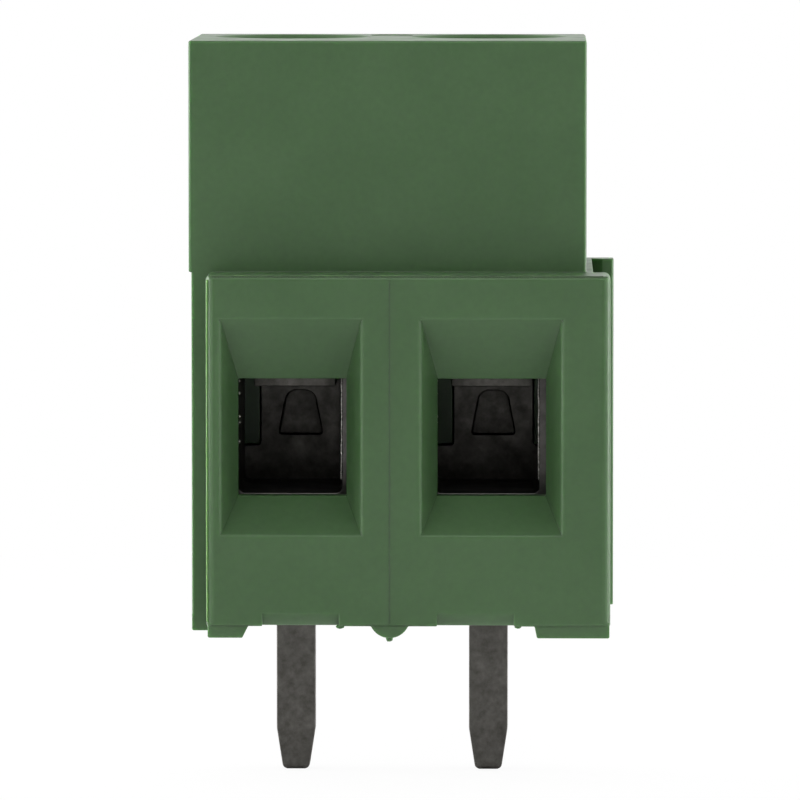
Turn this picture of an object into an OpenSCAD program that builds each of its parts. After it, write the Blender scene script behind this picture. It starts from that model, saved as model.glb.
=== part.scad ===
// Two-pole rising-cage screw terminal for a printed circuit board.
// Millimetres. Origin on the board surface, midway between the solder pins.
// +Z points away from the board and the wires go in from -Y.

/* [Poles] */
// Distance from one pole to the next
pitch = 5.08; // [5:0.01:5.2]
// Sideways shift of the wire entries and contacts from the screws
entry_shift = 0.13; // [0:0.01:0.15]

/* [Housing] */
// Width of the upper block
housing_w = 10.16; // [10.12:0.01:10.4]
// Width of the moulding below the ledge, apron and lower block alike
skirt_w = 10.26; // [10.16:0.02:10.4]
// Height of the top face above the board
housing_h = 15.1; // [14.8:0.1:18]
// Depth of the upper block, front face to back face
upper_depth = 6.75; // [6.7:0.05:7.2]
// Height of the ledge where the front apron ends
ledge_z = 9.2; // [8.9:0.1:9.6]
// How far the apron stands in front of the upper block
apron_depth = 1.85; // [1.6:0.05:2.2]
// How far the apron is set over towards the next block in the row
apron_shift = 0.56; // [0.4:0.01:0.6]
// How far the lower block is set over towards the next block in the row
lower_shift = 0.12; // [0.05:0.01:0.14]
// Height of the stand-off feet
foot_h = 0.3; // [0.2:0.05:0.4]

/* [Wire entries] */
// Width of the opening at the throat of the funnel
throat_w = 2.77; // [2.4:0.01:2.9]
// Lower edge of the throat
throat_low = 3.54; // [3.4:0.02:3.7]
// Upper edge of the throat
throat_high = 6.53; // [6.3:0.01:6.8]
// Depth of the funnel, front face to throat
funnel_depth = 1.1; // [0.8:0.05:1.2]
// How far the funnel spreads on each side of the throat
funnel_side = 0.4; // [0.2:0.05:0.5]
// How far the funnel spreads above the throat
funnel_top = 1.6; // [1:0.05:1.8]
// How far the funnel spreads below the throat
funnel_bottom = 0.94; // [0.6:0.02:1]

/* [Clamp screws] */
// Outside diameter of the screw thread
thread_d = 2.5; // [2:0.1:2.5]
// Diameter of the screw head
head_d = 3.6; // [3.4:0.1:3.6]
// Height of the screw head
head_h = 1.88; // [1.5:0.02:2]
// Width of the driver slot
slot_w = 0.5; // [0.4:0.05:0.8]
// Depth of the driver slot
slot_depth = 0.9; // [0.6:0.05:1.1]
// Diameter of the hole that the screwdriver goes down
access_d = 3.88; // [3.8:0.02:3.9]

/* [Clamp cages] */
// Thickness of the steel strip that the cage is folded from
cage_t = 0.42; // [0.35:0.01:0.44]
// Clear width inside the cage
cage_inner_w = 2.68; // [2.5:0.02:2.7]
// Length of the cage, front edge to back edge
cage_len = 4.2; // [3.8:0.05:4.2]

/* [Contacts] */
// Thickness of the contact strip
contact_t = 0.6; // [0.5:0.02:0.6]
// Width of the clamping bar and of the back plate
contact_w = 2.1; // [1.9:0.05:2.2]
// Width of the solder pin
pin_w = 1.02; // [0.8:0.02:1.2]
// Length of the solder pin below the board surface
pin_len = 4.3; // [3:0.1:5]

/* [Hidden] */

$fn = 64;
arc_steps = 6;      // flats along each rounded corner
over = 0.2;         // how far a cut runs past the surface it opens
left = -1;
right = 1;

// screw axes, 1.83 behind the pin row so that the cage passes in front of the contact
screw_y = -1.83;
function pole_x(side) = side * pitch / 2;
function entry_x(side) = pole_x(side) + entry_shift;

// housing planes
upper_back = 0.55;
upper_front = upper_back - upper_depth;
lower_back = 0.75;
apron_front = upper_front - apron_depth;
upper_x = [-housing_w / 2, housing_w / 2];
lower_x = [lower_shift - skirt_w / 2, lower_shift + skirt_w / 2];
apron_x = [apron_shift - skirt_w / 2, apron_shift + skirt_w / 2];
seam_x = 0.09;
throat_y = apron_front + funnel_depth;

// chamber that each cage slides in, open below
chamber_gap = 0.08;
chamber_w = cage_inner_w + 2 * (cage_t + chamber_gap);
chamber_back = -0.34;
chamber_front = -4.72;
chamber_top = 10.4;
guide_w = 3.1;
guide_z = [3, 7.1];

// contact heights: the clamping bar crosses the cage just under its folded top
bar_low = 6.18;
bar_high = bar_low + contact_t;
bar_front = -4.9;
slot_play = 0.04;
foot_w = 3;         // width of the contact's foot, which steps in to the back plate at foot_top
foot_top = 4.3;
shoulder_z = 1.4;
pin_taper = 1.1;
pin_tip_w = 0.68;

// cage when fully open
cage_back = -0.36;
cage_floor = 3.4;
cage_roof = bar_high + 0.1;
fold_gap = 0.03;
fold_r = 0.16;

// screw: its tip bears on the bar and its head sits on the shoulder of the hole
seat_z = 11;
seat_gap = 0.02;
thread_gap = 0.04;
head_gap = 0.06;
head_bore_top = seat_z + head_h + 0.12;
rim_chamfer = 0.1;

// ---- outlines ----

// Points of the arc of radius r that rounds corner b between a and c
function fillet(a, b, c, r) = r <= 0 ? [b] : let (
    u = (a - b) / norm(a - b),
    v = (c - b) / norm(c - b),
    half = acos(u * v) / 2,
    centre = b + (u + v) / norm(u + v) * r / sin(half),
    p = b + u * r / tan(half) - centre,
    q = b + v * r / tan(half) - centre,
    start = atan2(p.y, p.x),
    turn = atan2(p.x * q.y - p.y * q.x, p * q))
    [for (i = [0:arc_steps]) centre + r * [cos(start + turn * i / arc_steps), sin(start + turn * i / arc_steps)]];

// A closed outline with each corner rounded by its own radius
function rounded(points, radii) = let (n = len(points))
    [for (i = [0:n - 1]) each fillet(points[(i + n - 1) % n], points[i], points[(i + 1) % n], radii[i])];

function rectangle(low, high) = [low, [high.x, low.y], high, [low.x, high.y]];

module along_x(x0, x1) translate([x0, 0, 0]) rotate([90, 0, 90]) linear_extrude(x1 - x0) children();
module along_y(y0, y1) translate([0, y1, 0]) rotate([90, 0, 0]) linear_extrude(y1 - y0) children();
module along_z(z0, z1) translate([0, 0, z0]) linear_extrude(z1 - z0) children();

// A block from corner low to corner high. Each of plan, side and front lists four corner radii,
// from the low corner round by the far end of the view's first axis.
module moulded_block(low, high, plan = [0, 0, 0, 0], side = [0, 0, 0, 0], front = [0, 0, 0, 0]) {
    intersection() {
        along_z(low.z, high.z) polygon(rounded(rectangle([low.x, low.y], [high.x, high.y]), plan));
        along_x(low.x, high.x) polygon(rounded(rectangle([low.y, low.z], [high.y, high.z]), side));
        along_y(low.y, high.y) polygon(rounded(rectangle([low.x, low.z], [high.x, high.z]), front));
    }
}

module box(low, high) translate(low) cube(high - low);

// ---- housing ----

// Funnel in front of one wire entry, with its rim eased where it meets the face
module wire_funnel(side) {
    rim_r = 0.14;
    mouth_x = throat_w / 2 + funnel_side;
    mouth_low = throat_low - funnel_bottom;
    mouth_high = throat_high + funnel_top;
    air = apron_front - over;
    margin = 1;
    intersection() {
        translate([entry_x(side), 0, 0]) along_z(mouth_low - margin, mouth_high + margin)
            polygon(rounded(
                [[-mouth_x - margin, air], [mouth_x + margin, air], [mouth_x + margin, apron_front],
                 [mouth_x, apron_front], [throat_w / 2, throat_y], [-throat_w / 2, throat_y],
                 [-mouth_x, apron_front], [-mouth_x - margin, apron_front]],
                [0, 0, 0, rim_r, 0, 0, rim_r, 0]));
        along_x(entry_x(side) - mouth_x - margin, entry_x(side) + mouth_x + margin)
            polygon(rounded(
                [[air, mouth_low - margin], [apron_front, mouth_low - margin], [apron_front, mouth_low],
                 [throat_y, throat_low], [throat_y, throat_high], [apron_front, mouth_high],
                 [apron_front, mouth_high + margin], [air, mouth_high + margin]],
                [0, 0, rim_r, 0, 0, rim_r, 0, 0]));
    }
}

// Everything that is hollow in one pole: entry, cage chamber, contact slot and screw hole
module pole_hollow(side) {
    x = entry_x(side);
    wire_funnel(side);
    box([x - throat_w / 2, throat_y - over, throat_low], [x + throat_w / 2, chamber_front, throat_high]);
    box([x - guide_w / 2, throat_y + 0.45, guide_z[0]], [x + guide_w / 2, chamber_front + over, guide_z[1]]);
    translate([pole_x(side), 0, 0])
        moulded_block([-chamber_w / 2, chamber_front, -over], [chamber_w / 2, chamber_back, chamber_top],
                      front = [0, 0, 0.3, 0.3]);
    for (step = [[contact_w, bar_high], [foot_w, foot_top + slot_play]])
        box([x - (step[0] + slot_play) / 2, chamber_back - over, -over],
            [x + (step[0] + slot_play) / 2, contact_t / 2, step[1]]);
    translate([pole_x(side), screw_y, 0]) {
        translate([0, 0, chamber_top - over]) cylinder(d = thread_d + 0.2, h = seat_z - chamber_top + 2 * over);
        translate([0, 0, seat_z]) cylinder(d = head_d + 2 * head_gap, h = head_bore_top - seat_z + over);
        translate([0, 0, head_bore_top]) cylinder(d = access_d, h = housing_h - head_bore_top + over);
        translate([0, 0, housing_h - rim_chamfer])
            cylinder(d1 = access_d, d2 = access_d + 4 * rim_chamfer, h = 2 * rim_chamfer);
    }
}

// Cored-out pocket under one funnel and the bevelled thin place in the front wall's lower edge
module front_coring(side) {
    pocket_w = 3;
    bevel_w = 1.95;
    bevel_h = 0.34;
    bevel_x = side * 2.22 + 0.05;
    x = entry_x(side);
    moulded_block([x - pocket_w / 2, apron_front + 0.5, -over], [x + pocket_w / 2, chamber_front - 0.6, 2.2],
                  plan = [0.2, 0.2, 0.2, 0.2], front = [0, 0, 0.25, 0.25]);
    along_x(bevel_x - bevel_w / 2, bevel_x + bevel_w / 2)
        polygon([[apron_front - over, foot_h - over], [apron_front + bevel_h + over, foot_h - over],
                 [apron_front - over, foot_h + bevel_h + over]]);
}

// A stand-off foot with its flanks sloped by the mould's draft
module foot(x0, x1, y0, y1, draft = [0.06, 0.06]) {
    root = foot_h + 0.1;
    along_y(y0, y1) polygon(rounded(
        [[x0, 0], [x1, 0], [x1 + draft[1], root], [x0 - draft[0], root]], [0.05, 0.05, 0, 0]));
}

module feet() {
    apron_foot_y = [apron_front + 0.06, apron_front + 1.2];
    foot(apron_x[0] + 0.04, apron_x[0] + 0.92, apron_foot_y[0], apron_foot_y[1], draft = [0, 0.2]);
    foot(apron_x[1] - 1.86, apron_x[1] - 0.02, apron_foot_y[0], apron_foot_y[1], draft = [0.08, 0]);
    foot(lower_x[0], lower_x[0] + 0.5, upper_front, upper_front + 1.6, draft = [0, 0.06]);
    foot(lower_x[0], lower_x[0] + 0.5, lower_back - 1.6, lower_back, draft = [0, 0.06]);
    foot(lower_x[1] - 0.6, lower_x[1], lower_back - 1.6, lower_back, draft = [0.06, 0]);
    foot(-0.45, 0.45, -0.85, lower_back);
    // half-round rib under the middle of the apron
    rib_r = 0.52;
    translate([seam_x, apron_front + 0.05, rib_r]) rotate([-90, 0, 0]) cylinder(r = rib_r, h = 2);
}

// Section of the hook that ties a block to the next one: a tongue with a hooked front,
// grown all round by gap for the groove that it slides into
function hook_outline(x, gap) = let (reach = 0.58, front = 0.05, root = 0.32) rounded(
    [[x - 0.3, root - gap], [x, root - gap], [x + 0.28, front - gap], [x + reach + gap, front - gap],
     [x + reach + gap, lower_back + gap], [x - 0.3, lower_back + gap]],
    [0, 0, 0.06, 0.08, gap > 0 ? 0 : 0.12, 0]);

module housing() {
    color([0.30, 0.38, 0.27]) difference() {
        union() {
            moulded_block([upper_x[0], upper_front, ledge_z], [upper_x[1], upper_back, housing_h],
                          plan = [0.08, 0.08, 0.15, 0.15], side = [0, 0, 0.06, 0.06], front = [0, 0, 0.06, 0.06]);
            moulded_block([lower_x[0], upper_front, foot_h], [lower_x[1], lower_back, ledge_z],
                          plan = [0.05, 0, 0.15, 0.15]);
            moulded_block([apron_x[0], apron_front, foot_h], [apron_x[1], upper_front, ledge_z],
                          plan = [0.24, 0.24, 0.08, 0], side = [0.08, 0, 0, 0.12], front = [0.05, 0.05, 0.15, 0.1]);
            along_z(0.05, ledge_z) polygon(hook_outline(lower_x[1], 0));
            feet();
        }
        for (side = [left, right]) {
            pole_hollow(side);
            front_coring(side);
        }
        along_z(-over, ledge_z) polygon(hook_outline(lower_x[0], 0.04));
        // shallow recess in the web between the two screw holes
        along_z(housing_h - 0.03, housing_h + over) polygon(rounded(
            rectangle([-0.55, screw_y - 1.95], [0.55, screw_y + 2.2]), [0.5, 0.5, 0.5, 0.5]));
    }
}

// ---- metal parts ----

// One stamped strip: clamping bar, bend, back plate with its pressed window, wide foot and solder pin
module contact(side) {
    x = entry_x(side);
    pin_x = pole_x(side) - x;
    half = contact_w / 2;
    foot_half = foot_w / 2;
    color([0.42, 0.41, 0.39]) translate([x, 0, 0]) difference() {
        intersection() {
            along_x(-foot_half, foot_half) polygon(rounded(
                [[bar_front, bar_low], [-contact_t / 2, bar_low], [-contact_t / 2, -pin_len],
                 [contact_t / 2, -pin_len], [contact_t / 2, bar_high], [bar_front, bar_high]],
                [0.04, 0.2, 0.12, 0.12, contact_t + 0.2, 0.12]));
            along_y(bar_front - over, contact_t) polygon(rounded(
                [[-half, bar_high + over], [-half, foot_top], [-foot_half, foot_top], [-foot_half, shoulder_z],
                 [pin_x - pin_w / 2, shoulder_z - 0.3], [pin_x - pin_w / 2, pin_taper - pin_len],
                 [pin_x - pin_tip_w / 2, -pin_len], [pin_x + pin_tip_w / 2, -pin_len],
                 [pin_x + pin_w / 2, pin_taper - pin_len], [pin_x + pin_w / 2, shoulder_z - 0.3],
                 [foot_half, shoulder_z], [foot_half, foot_top], [half, foot_top], [half, bar_high + over]],
                [0, 0.1, 0.1, 0.12, 0.12, 0.6, 0.16, 0.16, 0.6, 0.12, 0.12, 0.1, 0.1, 0]));
        }
        along_y(-contact_t / 2 - over, -contact_t / 2 + 0.28) polygon(rounded(
            [[-0.58, 4.58], [0.58, 4.58], [0.36, 5.75], [-0.36, 5.75]], [0.08, 0.08, 0.3, 0.3]));
    }
}

// Steel strip folded into a square tube, its two ends lapped over each other and tapped
module clamp_cage(side) {
    half = cage_inner_w / 2;
    outer = half + cage_t;
    lap_z = cage_roof + cage_t;
    top_z = lap_z + fold_gap + cage_t;
    bend_r = fold_r + cage_t;
    flap_end = half - 0.13;
    color([0.55, 0.54, 0.52]) translate([pole_x(side), 0, 0]) difference() {
        along_y(cage_back - cage_len, cage_back) polygon(rounded(
            [[flap_end, lap_z], [-outer, lap_z], [-outer, cage_floor - cage_t], [outer, cage_floor - cage_t],
             [outer, top_z], [-outer, top_z], [-outer, lap_z + fold_gap], [half, lap_z + fold_gap],
             [half, cage_floor], [-half, cage_floor], [-half, cage_roof], [flap_end, cage_roof]],
            [0, bend_r, bend_r, bend_r, bend_r, 0, 0, fold_r, fold_r, fold_r, fold_r, 0]));
        translate([0, screw_y, cage_roof - over])
            cylinder(d = thread_d + 2 * thread_gap, h = top_z - cage_roof + 2 * over);
    }
}

// Cheese-head screw with a driver slot; it turns at one height and draws the cage up
module clamp_screw(side) {
    tip_z = bar_high + seat_gap;
    under_head = seat_z + seat_gap;
    top = under_head + head_h;
    color([0.62, 0.61, 0.58]) translate([pole_x(side), screw_y, 0]) difference() {
        rotate_extrude() polygon(rounded(
            [[0, tip_z], [thread_d / 2 - 0.3, tip_z], [thread_d / 2, tip_z + 0.3], [thread_d / 2, under_head],
             [head_d / 2, under_head], [head_d / 2, top], [0, top]],
            [0, 0, 0, 0, 0.08, 0.22, 0]));
        box([-head_d, -slot_w / 2, top - slot_depth], [head_d, slot_w / 2, top + over]);
    }
}

module contact_left() contact(left);
module contact_right() contact(right);
module clamp_cage_left() clamp_cage(left);
module clamp_cage_right() clamp_cage(right);
module clamp_screw_left() clamp_screw(left);
module clamp_screw_right() clamp_screw(right);

housing();
contact_left();
contact_right();
clamp_cage_left();
clamp_cage_right();
clamp_screw_left();
clamp_screw_right();
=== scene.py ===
import bmesh
import bpy
import math
import random
from mathutils import Matrix, Vector
from mathutils.bvhtree import BVHTree


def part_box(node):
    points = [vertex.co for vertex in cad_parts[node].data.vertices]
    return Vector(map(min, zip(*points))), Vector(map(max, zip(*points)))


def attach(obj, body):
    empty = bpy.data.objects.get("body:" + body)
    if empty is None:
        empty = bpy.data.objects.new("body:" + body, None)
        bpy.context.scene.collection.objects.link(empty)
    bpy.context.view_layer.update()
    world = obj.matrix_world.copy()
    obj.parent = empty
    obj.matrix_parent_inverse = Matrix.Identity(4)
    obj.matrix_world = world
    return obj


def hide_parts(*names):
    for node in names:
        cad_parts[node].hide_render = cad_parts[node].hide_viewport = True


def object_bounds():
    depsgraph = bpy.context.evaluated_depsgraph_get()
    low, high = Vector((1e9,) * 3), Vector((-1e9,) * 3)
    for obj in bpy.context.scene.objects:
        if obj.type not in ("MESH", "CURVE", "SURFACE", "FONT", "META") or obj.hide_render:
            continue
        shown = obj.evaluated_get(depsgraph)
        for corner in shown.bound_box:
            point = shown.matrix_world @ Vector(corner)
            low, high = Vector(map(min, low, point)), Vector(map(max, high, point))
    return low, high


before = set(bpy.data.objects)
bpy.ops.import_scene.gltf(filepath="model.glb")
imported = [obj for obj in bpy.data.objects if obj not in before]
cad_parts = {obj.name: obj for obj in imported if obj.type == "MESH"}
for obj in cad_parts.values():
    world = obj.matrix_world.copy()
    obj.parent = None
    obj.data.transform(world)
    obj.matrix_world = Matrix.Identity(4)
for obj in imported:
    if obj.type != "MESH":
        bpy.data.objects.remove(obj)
cad_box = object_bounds()
mm = 0.001


# ---- Moulded block ----
# One injection moulding in green glass-free polyamide carries both poles. It comes out of the tool
# with softened corners, a thin raised line where two slides met, and ragged flash on its lower edges.

block_low, block_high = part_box("housing")
edge_ease = 0.022 * mm
weld_gap = 0.0005 * mm
flat_angle = math.radians(0.6)
sharp_angle = math.radians(38.0)
stray_share = 0.6


def merged_copy(node, name):
    """A new object from a solid's triangles, with its doubled corners welded and its flats made whole."""
    mesh = bpy.data.meshes.new(name)
    work = bmesh.new()
    work.from_mesh(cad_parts[node].data)
    bmesh.ops.remove_doubles(work, verts=work.verts, dist=weld_gap)
    bmesh.ops.dissolve_limit(work, angle_limit=flat_angle, verts=work.verts, edges=work.edges)
    work.to_mesh(mesh)
    work.free()
    mesh.materials.clear()
    piece = bpy.data.objects.new(name, mesh)
    bpy.context.scene.collection.objects.link(piece)
    return piece


def settle(piece):
    """Turns a piece with its modifiers into one plain mesh."""
    depsgraph = bpy.context.evaluated_depsgraph_get()
    depsgraph.update()
    mesh = bpy.data.meshes.new_from_object(piece.evaluated_get(depsgraph))
    piece.modifiers.clear()
    piece.data = mesh
    mesh.name = piece.name
    return piece


def ease_edges(piece, width):
    """Breaks every sharp corner of a piece by a small rounding and shades it like one smooth casting.

    A point that the rounding throws too far from the sharp form goes back onto it.
    """
    bevel = piece.modifiers.new("eased_edges", "BEVEL")
    bevel.width = width
    bevel.segments = 2
    bevel.limit_method = "ANGLE"
    bevel.angle_limit = sharp_angle
    bevel.use_clamp_overlap = False
    before = BVHTree.FromPolygons([v.co.copy() for v in piece.data.vertices],
                                  [list(f.vertices) for f in piece.data.polygons])
    settle(piece)
    for vert in piece.data.vertices:
        nearest, _, _, gap = before.find_nearest(vert.co)
        if gap > stray_share * width:
            vert.co = nearest
    for face in piece.data.polygons:
        face.use_smooth = True
    smooth = piece.modifiers.new("even_shading", "WEIGHTED_NORMAL")
    smooth.weight = 80
    settle(piece)


def node_material(name):
    """A node material, its shader, and the piece's own coordinates in millimetres."""
    material = bpy.data.materials.new(name)
    material.use_nodes = True
    tree = material.node_tree
    shader = tree.nodes["Principled BSDF"]
    place = tree.nodes.new("ShaderNodeTexCoord")
    scale = tree.nodes.new("ShaderNodeVectorMath")
    scale.operation = "SCALE"
    scale.inputs["Scale"].default_value = 1000.0
    tree.links.new(place.outputs["Object"], scale.inputs[0])
    return material, tree, shader, scale.outputs["Vector"]


def clouds(tree, where, size, detail=4.0, rough=0.55):
    """Cloudy noise in patches of about size millimetres."""
    noise = tree.nodes.new("ShaderNodeTexNoise")
    noise.inputs["Scale"].default_value = 1.0 / size
    noise.inputs["Detail"].default_value = detail
    noise.inputs["Roughness"].default_value = rough
    tree.links.new(where, noise.inputs["Vector"])
    return noise.outputs["Fac"]


def shades(tree, value, stops, smooth=False):
    """Turns a value into a colour between the given stops."""
    ramp = tree.nodes.new("ShaderNodeValToRGB")
    if smooth:
        ramp.color_ramp.interpolation = "EASE"
    while len(ramp.color_ramp.elements) < len(stops):
        ramp.color_ramp.elements.new(0.5)
    for element, (at, colour) in zip(ramp.color_ramp.elements, stops):
        element.position = at
        element.color = (*colour, 1.0)
    tree.links.new(value, ramp.inputs["Fac"])
    return ramp.outputs["Color"]


def spread(tree, value, low, high, start=0.3, end=0.7):
    """Stretches a noise value to run from low to high."""
    node = tree.nodes.new("ShaderNodeMapRange")
    node.inputs["From Min"].default_value = start
    node.inputs["From Max"].default_value = end
    node.inputs["To Min"].default_value = low
    node.inputs["To Max"].default_value = high
    tree.links.new(value, node.inputs["Value"])
    return node.outputs["Result"]


def multiplied(tree, base, over):
    """Multiplies one colour by another."""
    mix = tree.nodes.new("ShaderNodeMix")
    mix.data_type = "RGBA"
    mix.blend_type = "MULTIPLY"
    mix.inputs[0].default_value = 1.0
    tree.links.new(base, mix.inputs[6])
    tree.links.new(over, mix.inputs[7])
    return mix.outputs[2]


def relief(tree, shader, value, depth, strength=1.0, under=None):
    """Bump from a height value; depth in millimetres."""
    bump = tree.nodes.new("ShaderNodeBump")
    bump.inputs["Strength"].default_value = strength
    bump.inputs["Distance"].default_value = depth * mm
    tree.links.new(value, bump.inputs["Height"])
    if under is not None:
        tree.links.new(under, bump.inputs["Normal"])
    tree.links.new(bump.outputs["Normal"], shader.inputs["Normal"])
    return bump.outputs["Normal"]


polyamide, tree, shader, where = node_material("green_polyamide")
drift = clouds(tree, where, 3.2, detail=3.0)
deep_green = (0.0470, 0.0960, 0.0385)
pale_green = (0.0530, 0.1050, 0.0440)
body_tint = shades(tree, drift, [(0.30, deep_green), (0.70, pale_green)], smooth=True)
grain = clouds(tree, where, 0.16, detail=5.0)
grain_tint = shades(tree, grain, [(0.25, (0.93, 0.93, 0.93)), (0.75, (1.06, 1.06, 1.05))])
tree.links.new(multiplied(tree, body_tint, grain_tint), shader.inputs["Base Color"])
tree.links.new(spread(tree, clouds(tree, where, 0.9), 0.30, 0.42), shader.inputs["Roughness"])
shader.inputs["IOR"].default_value = 1.5
shader.inputs["Specular IOR Level"].default_value = 0.28
shader.inputs["Subsurface Weight"].default_value = 0.6
shader.inputs["Subsurface Radius"].default_value = (0.55, 1.0, 0.40)
shader.inputs["Subsurface Scale"].default_value = 0.55 * mm
waves = relief(tree, shader, clouds(tree, where, 1.4, detail=2.0), 0.010, strength=0.5)
relief(tree, shader, clouds(tree, where, 0.05, detail=3.0), 0.0012, strength=0.5, under=waves)

# A ragged line of flash: a thin thread of plastic that wanders and swells along an edge.
flash_tree = bpy.data.node_groups.new("ragged_line", "GeometryNodeTree")
flash_tree.interface.new_socket("Path", in_out="INPUT", socket_type="NodeSocketGeometry")
flash_inputs = {}
flash_measures = ("Thickness", "Wander", "Wander Size", "Swell Size", "Thinnest", "Seed")
flash_kinds = dict.fromkeys(flash_measures, "Float")
flash_kinds["Finish"] = "Material"
for label, kind in flash_kinds.items():
    flash_inputs[label] = flash_tree.interface.new_socket(
        label, in_out="INPUT", socket_type="NodeSocket" + kind)
flash_tree.interface.new_socket("Mesh", in_out="OUTPUT", socket_type="NodeSocketGeometry")


def join(source, target):
    """Links two sockets of the flash tree."""
    flash_tree.links.new(source, target)


entry = flash_tree.nodes.new("NodeGroupInput")
leave = flash_tree.nodes.new("NodeGroupOutput")
as_curve = flash_tree.nodes.new("GeometryNodeMeshToCurve")
steps = flash_tree.nodes.new("GeometryNodeResampleCurve")
steps.mode = "LENGTH"
steps.inputs["Length"].default_value = 0.025 * mm
here = flash_tree.nodes.new("GeometryNodeInputPosition")
in_mm = flash_tree.nodes.new("ShaderNodeVectorMath")
in_mm.operation = "SCALE"
in_mm.inputs["Scale"].default_value = 1000.0
join(here.outputs["Position"], in_mm.inputs[0])


def flash_noise(size_socket, extra_seed):
    """Noise along the thread, in patches of the size that the named input gives."""
    seed = flash_tree.nodes.new("ShaderNodeMath")
    seed.operation = "ADD"
    seed.inputs[1].default_value = extra_seed
    join(entry.outputs["Seed"], seed.inputs[0])
    pitch = flash_tree.nodes.new("ShaderNodeMath")
    pitch.operation = "DIVIDE"
    pitch.inputs[0].default_value = 1.0
    join(entry.outputs[size_socket], pitch.inputs[1])
    noise = flash_tree.nodes.new("ShaderNodeTexNoise")
    noise.noise_dimensions = "4D"
    noise.inputs["Detail"].default_value = 3.0
    join(in_mm.outputs["Vector"], noise.inputs["Vector"])
    join(seed.outputs["Value"], noise.inputs["W"])
    join(pitch.outputs["Value"], noise.inputs["Scale"])
    return noise


wander_noise = flash_noise("Wander Size", 0.0)
centred = flash_tree.nodes.new("ShaderNodeVectorMath")
centred.operation = "SUBTRACT"
centred.inputs[1].default_value = (0.5, 0.5, 0.5)
join(wander_noise.outputs["Color"], centred.inputs[0])
wandered = flash_tree.nodes.new("ShaderNodeVectorMath")
wandered.operation = "SCALE"
join(centred.outputs["Vector"], wandered.inputs[0])
join(entry.outputs["Wander"], wandered.inputs["Scale"])
shifted = flash_tree.nodes.new("GeometryNodeSetPosition")
swell_noise = flash_noise("Swell Size", 7.3)
swell = flash_tree.nodes.new("ShaderNodeMapRange")
swell.inputs["From Min"].default_value = 0.35
swell.inputs["From Max"].default_value = 0.70
swell.inputs["To Max"].default_value = 1.0
join(swell_noise.outputs["Fac"], swell.inputs["Value"])
join(entry.outputs["Thinnest"], swell.inputs["To Min"])
thick = flash_tree.nodes.new("GeometryNodeSetCurveRadius")
ring = flash_tree.nodes.new("GeometryNodeCurvePrimitiveCircle")
ring.inputs["Resolution"].default_value = 8
skin = flash_tree.nodes.new("GeometryNodeCurveToMesh")
skin.inputs["Fill Caps"].default_value = True
rounded_shade = flash_tree.nodes.new("GeometryNodeSetShadeSmooth")
realise = flash_tree.nodes.new("GeometryNodeRealizeInstances")
coat = flash_tree.nodes.new("GeometryNodeSetMaterial")
join(entry.outputs["Path"], as_curve.inputs["Mesh"])
join(as_curve.outputs["Curve"], steps.inputs["Curve"])
join(steps.outputs["Curve"], shifted.inputs["Geometry"])
join(wandered.outputs["Vector"], shifted.inputs["Offset"])
join(shifted.outputs["Geometry"], thick.inputs["Curve"])
join(swell.outputs["Result"], thick.inputs["Radius"])
join(thick.outputs["Curve"], skin.inputs["Curve"])
join(entry.outputs["Thickness"], ring.inputs["Radius"])
join(ring.outputs["Curve"], skin.inputs["Profile Curve"])
join(skin.outputs["Mesh"], rounded_shade.inputs["Geometry"])
join(rounded_shade.outputs["Geometry"], realise.inputs["Geometry"])
join(realise.outputs["Geometry"], coat.inputs["Geometry"])
join(entry.outputs["Finish"], coat.inputs["Material"])
join(coat.outputs["Geometry"], leave.inputs["Mesh"])


def ragged_line(name, points, thickness, wander, finish, wander_size, swell_size, thinnest, seed):
    """A finished ragged thread along points in millimetres."""
    mesh = bpy.data.meshes.new(name)
    mesh.from_pydata([Vector(p) * mm for p in points], [(i, i + 1) for i in range(len(points) - 1)], [])
    piece = bpy.data.objects.new(name, mesh)
    bpy.context.scene.collection.objects.link(piece)
    modifier = piece.modifiers.new("ragged", "NODES")
    modifier.node_group = flash_tree
    wanted = {"Thickness": thickness * mm, "Wander": wander * mm, "Wander Size": wander_size,
              "Swell Size": swell_size, "Thinnest": thinnest, "Seed": seed, "Finish": finish}
    for label, value in wanted.items():
        modifier[flash_inputs[label].identifier] = value
    return settle(piece)


def lump(name, centre, radii, finish, seed, rough=0.25):
    """A small irregular bead of plastic or metal; centre and radii in millimetres."""
    rng = random.Random(seed)
    mesh = bpy.data.meshes.new(name)
    work = bmesh.new()
    bmesh.ops.create_icosphere(work, subdivisions=2, radius=1.0)
    for vert in work.verts:
        push = 1.0 + rough * (rng.random() - 0.5)
        vert.co = Vector(centre) * mm + Vector([c * r * push * mm for c, r in zip(vert.co, radii)])
    for face in work.faces:
        face.smooth = True
    work.to_mesh(mesh)
    work.free()
    mesh.materials.append(finish)
    piece = bpy.data.objects.new(name, mesh)
    bpy.context.scene.collection.objects.link(piece)
    return piece


def joined(main, others):
    """Adds the meshes of the others to the main piece."""
    work = bmesh.new()
    work.from_mesh(main.data)
    for other in others:
        work.from_mesh(other.data)
        bpy.data.objects.remove(other)
    work.to_mesh(main.data)
    work.free()


moulding = merged_copy("housing", "moulded_block")
ease_edges(moulding, edge_ease)
moulding.data.materials.append(polyamide)

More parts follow.
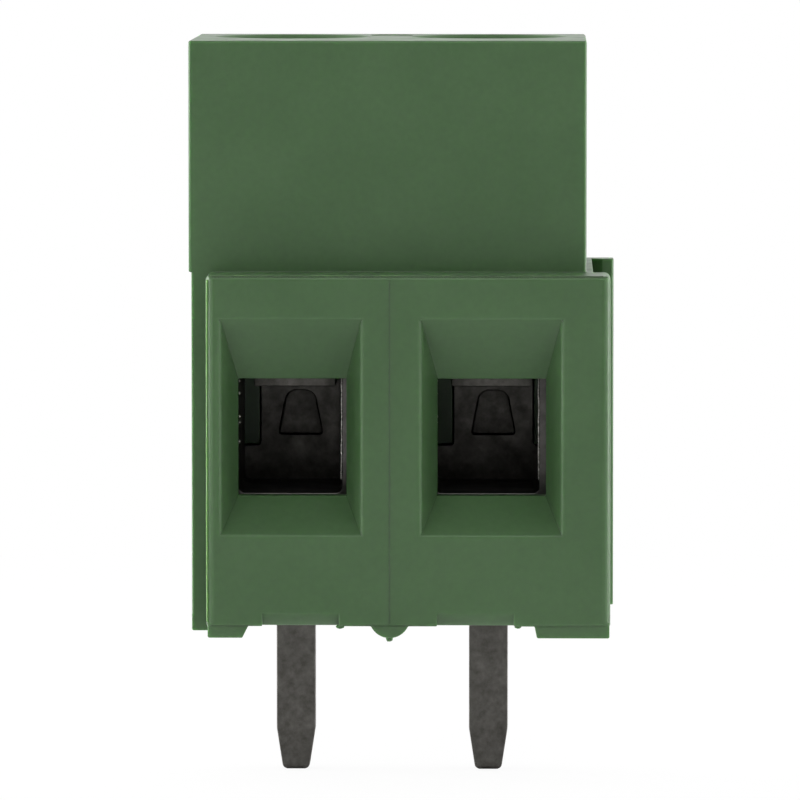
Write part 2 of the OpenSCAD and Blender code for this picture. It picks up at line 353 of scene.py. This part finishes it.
front = block_low.y / mm
apron_left_inset = 0.51
tongue_reach = 0.14
foot_height = 0.3
apron_height = 8.9
seam_x = 0.09
left = block_low.x / mm + apron_left_inset
right = block_high.x / mm - tongue_reach
base = block_low.z / mm + foot_height
ledge = base + apron_height
ledge_run = [(left + 0.15, front + 0.10, ledge - 0.01), (right - 0.2, front + 0.10, ledge - 0.01)]
left_run = [(left + 0.03, front + 0.09, base + 0.1), (left + 0.03, front + 0.09, ledge - 0.1)]
seam_run = [(seam_x, front + 0.004, base + 0.05), (seam_x, front + 0.004, ledge - 0.06)]
flash = [
    ragged_line("flash_ledge", ledge_run, 0.026, 0.05, polyamide,
                wander_size=0.9, swell_size=0.35, thinnest=0.1, seed=3.0),
    ragged_line("flash_left", left_run, 0.022, 0.05, polyamide,
                wander_size=1.1, swell_size=0.6, thinnest=0.4, seed=5.0),
    ragged_line("flash_seam", seam_run, 0.013, 0.012, polyamide,
                wander_size=0.8, swell_size=0.3, thinnest=0.5, seed=8.0),
    lump("gate_nib", (0.08, front + 0.30, -0.03), (0.09, 0.11, 0.09), polyamide, 4, rough=0.2),
    lump("burr_left", (-1.17, front + 0.22, 0.28), (0.11, 0.11, 0.06), polyamide, 6),
    lump("burr_right", (3.35, front + 0.22, 0.28), (0.09, 0.10, 0.05), polyamide, 9),
]
joined(moulding, flash)
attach(moulding, "block")
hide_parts("housing")


# ---- Contact strips ----
# Each pole has one strip of tinned brass, stamped and bent: clamping bar, back plate, foot and pin.
# It is pushed into the moulding from below and held there by its own spring.

strip_ease = 0.03 * mm
tin, tree, shader, where = node_material("dull_tin_painted_shade")
mottle = clouds(tree, where, 0.22, detail=6.0, rough=0.65)
# The tin's colour is kept very dark as painted shade, for the dim room in front that the metal reflects;
# the mottling on top of it is the tin's own.
tint = shades(tree, mottle, [(0.30, (0.070, 0.066, 0.060)), (0.70, (0.130, 0.125, 0.116))])
tree.links.new(tint, shader.inputs["Base Color"])
shader.inputs["Metallic"].default_value = 1.0
tree.links.new(spread(tree, clouds(tree, where, 0.5), 0.40, 0.58), shader.inputs["Roughness"])
relief(tree, shader, clouds(tree, where, 0.07, detail=4.0), 0.004, strength=0.6)
for side in ("left", "right"):
    strip = merged_copy("contact_" + side, "contact_strip_" + side)
    ease_edges(strip, strip_ease)
    strip.data.materials.append(tin)
    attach(strip, "block")
    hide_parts("contact_" + side)


# ---- Clamp cages ----
# Each cage is a strip of plated steel folded into a box around the clamping bar, with a doubled top
# that holds the thread. Its sheared front edges are ragged; their bright colour is a painted highlight,
# and the plating's dark colour is painted shade.

cage_ease = 0.025 * mm
wall_half_gap = 1.32
bead_half_gap = 1.31
shear_depth = 0.03
shear_bottom = 3.75
shear_top = 6.40
bead_heights = (6.30, 5.98, 5.38, 5.22, 4.72)
nickel, tree, shader, where = node_material("nickel_steel_painted_shade")
# The plating's colour is kept dark as painted shade, for the dim room in front that the metal reflects;
# the screws share it.
tint = shades(tree, clouds(tree, where, 0.3), [(0.3, (0.085, 0.081, 0.077)), (0.7, (0.150, 0.144, 0.138))])
tree.links.new(tint, shader.inputs["Base Color"])
shader.inputs["Metallic"].default_value = 1.0
tree.links.new(spread(tree, clouds(tree, where, 0.6), 0.32, 0.48), shader.inputs["Roughness"])
relief(tree, shader, clouds(tree, where, 0.10, detail=4.0), 0.003, strength=0.5)

painted_highlight_steel, tree, shader, where = node_material("sheared_steel_painted_highlight")
# A much paler copy of the cage's steel, used on the burrs of the sheared edges: their ragged shape is
# real, their brightness is a painted highlight.
tint = shades(tree, clouds(tree, where, 0.08), [(0.35, (0.30, 0.28, 0.26)), (0.65, (0.85, 0.82, 0.78))])
tree.links.new(tint, shader.inputs["Base Color"])
shader.inputs["Metallic"].default_value = 1.0
tree.links.new(spread(tree, clouds(tree, where, 0.2), 0.25, 0.45), shader.inputs["Roughness"])
relief(tree, shader, clouds(tree, where, 0.05), 0.004)
for side in ("left", "right"):
    cage = merged_copy("clamp_cage_" + side, "cage_strip_" + side)
    ease_edges(cage, cage_ease)
    cage.data.materials.append(nickel)
    cage.data.materials.append(painted_highlight_steel)
    cage_low, cage_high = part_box("clamp_cage_" + side)
    middle = (cage_low.x + cage_high.x) / 2 / mm
    sheared = cage_low.y / mm + shear_depth
    wall = middle + wall_half_gap
    shear_run = [(wall, sheared, shear_bottom), (wall, sheared, shear_top)]
    extras = [ragged_line("sheared_edge_" + side, shear_run, 0.022, 0.05, painted_highlight_steel,
                          wander_size=0.4, swell_size=0.18, thinnest=0.15, seed=11.0)]
    for number, height in enumerate(bead_heights):
        place = (middle - bead_half_gap, sheared, height)
        extras.append(lump("sheared_bead", place, (0.035, 0.03, 0.05), painted_highlight_steel, 20 + number))
    for extra in extras:
        for face in extra.data.polygons:
            face.material_index = 1
    joined(cage, extras)
    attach(cage, "cage_" + side)
    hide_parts("clamp_cage_" + side)


# ---- Clamp screws ----
# Each screw is turned steel with the same plating as its cage. Its head rests in the moulding's hole,
# so it turns in place and draws the cage up its thread. The solid itself is shown.

for side in ("left", "right"):
    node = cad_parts["clamp_screw_" + side]
    node.data.materials.clear()
    node.data.materials.append(nickel)


# ---- Studio ----
# The part stands on white paper inside a white tent that is brightest behind it and dim in front.
# Two low lamps at the sides rim its edges, and three soft ones in front fill its faces.

world = bpy.data.worlds.new("white_tent")
bpy.context.scene.world = world
world.use_nodes = True
tree = world.node_tree
background = tree.nodes["Background"]
path = tree.nodes.new("ShaderNodeLightPath")
place = tree.nodes.new("ShaderNodeTexCoord")
split = tree.nodes.new("ShaderNodeSeparateXYZ")
tree.links.new(place.outputs["Generated"], split.inputs[0])
shade = tree.nodes.new("ShaderNodeMapRange")
shade.inputs["From Min"].default_value = -0.9
shade.inputs["From Max"].default_value = 0.5
shade.inputs["To Min"].default_value = 0.12
shade.inputs["To Max"].default_value = 1.0
tree.links.new(split.outputs["Y"], shade.inputs["Value"])
lit = tree.nodes.new("ShaderNodeMath")
lit.operation = "MAXIMUM"
tree.links.new(shade.outputs["Result"], lit.inputs[0])
tree.links.new(path.outputs["Is Camera Ray"], lit.inputs[1])
background.inputs["Color"].default_value = (1, 1, 1, 1)
tree.links.new(lit.outputs["Value"], background.inputs["Strength"])


def soft_lamp(name, stand, aim, size, watts):
    """A square soft lamp; places and size in metres."""
    data = bpy.data.lights.new(name, "AREA")
    data.shape = "SQUARE"
    data.size = size
    data.energy = watts
    lamp = bpy.data.objects.new(name, data)
    bpy.context.scene.collection.objects.link(lamp)
    lamp.location = stand
    lamp.rotation_euler = (Vector(aim) - Vector(stand)).to_track_quat("-Z", "Y").to_euler()
    return lamp


block_middle = (0, 0, 0.007)
bench_front = (0, -0.14, -0.004)
soft_lamp("left_lamp", (-0.25, -0.22, 0.10), block_middle, 0.20, 0.26)
soft_lamp("right_lamp", (0.26, -0.20, 0.08), block_middle, 0.20, 0.19)
soft_lamp("bench_lamp", (0.0, -0.22, 0.18), bench_front, 0.16, 0.30)
soft_lamp("left_rim_lamp", (-0.24, 0.03, 0.04), block_middle, 0.16, 1.1)
soft_lamp("right_rim_lamp", (0.24, 0.03, 0.04), block_middle, 0.16, 0.8)

floor_mesh = bpy.data.meshes.new("bench_top")
low = cad_box[0].z
reach_out = 3.0
corners = [(-1, -1), (1, -1), (1, 1), (-1, 1)]
floor_mesh.from_pydata([(x * reach_out, y * reach_out, low) for x, y in corners], [], [(0, 1, 2, 3)])
floor = bpy.data.objects.new("bench_top", floor_mesh)
bpy.context.scene.collection.objects.link(floor)
paper, tree, shader, where = node_material("white_paper")
shader.inputs["Roughness"].default_value = 0.9
tint = shades(tree, clouds(tree, where, 6.0), [(0.3, (0.80, 0.80, 0.80)), (0.7, (0.84, 0.84, 0.84))])
tree.links.new(tint, shader.inputs["Base Color"])
glow = tree.nodes.new("ShaderNodeEmission")
glow.inputs["Color"].default_value = (1.0, 1.0, 1.0, 1.0)
path = tree.nodes.new("ShaderNodeLightPath")
# Close to the block the paper glows a little less for the camera, so a painted grey pool lies around its
# base, on top of the real shadow that the lit paper keeps.
reach = tree.nodes.new("ShaderNodeVectorMath")
reach.operation = "LENGTH"
tree.links.new(where, reach.inputs[0])
painted_pool_fade = spread(tree, reach.outputs["Value"], 0.92, 1.0, start=6.0, end=60.0)
seen = tree.nodes.new("ShaderNodeMath")
seen.operation = "MULTIPLY"
tree.links.new(painted_pool_fade, seen.inputs[1])
tree.links.new(path.outputs["Is Camera Ray"], seen.inputs[0])
both = tree.nodes.new("ShaderNodeMixShader")
tree.links.new(seen.outputs["Value"], both.inputs["Fac"])
tree.links.new(shader.outputs["BSDF"], both.inputs[1])
tree.links.new(glow.outputs["Emission"], both.inputs[2])
tree.links.new(both.outputs["Shader"], tree.nodes["Material Output"].inputs["Surface"])
floor_mesh.materials.append(paper)


# ---- Camera ----
# A long lens stands 194 mm away, a little above the block and a hair to its right.

focus = Vector((0.0, -3.0, 7.5)) * mm
distance = 194.2 * mm
sideways = 0.2594 * mm
downward = 1.8054 * mm
camera_data = bpy.data.cameras.new("bench_camera")
camera_data.lens = 336.55
camera_data.sensor_width = 36.0
camera_data.clip_start = 0.01
camera_data.clip_end = 10.0
camera = bpy.data.objects.new("bench_camera", camera_data)
bpy.context.scene.collection.objects.link(camera)
azimuth = math.radians(1.111)
elevation = math.radians(4.251)
back = Vector((
    math.sin(azimuth) * math.cos(elevation),
    -math.cos(azimuth) * math.cos(elevation),
    math.sin(elevation),
))
aside = Vector((math.cos(azimuth), math.sin(azimuth), 0.0))
upward = back.cross(aside)
stand = focus + back * distance + aside * sideways - upward * downward
camera.matrix_world = Matrix((
    (aside.x, upward.x, back.x, stand.x),
    (aside.y, upward.y, back.y, stand.y),
    (aside.z, upward.z, back.z, stand.z),
    (0, 0, 0, 1),
))
bpy.context.scene.camera = camera
bpy.context.scene.view_settings.view_transform = "Standard"
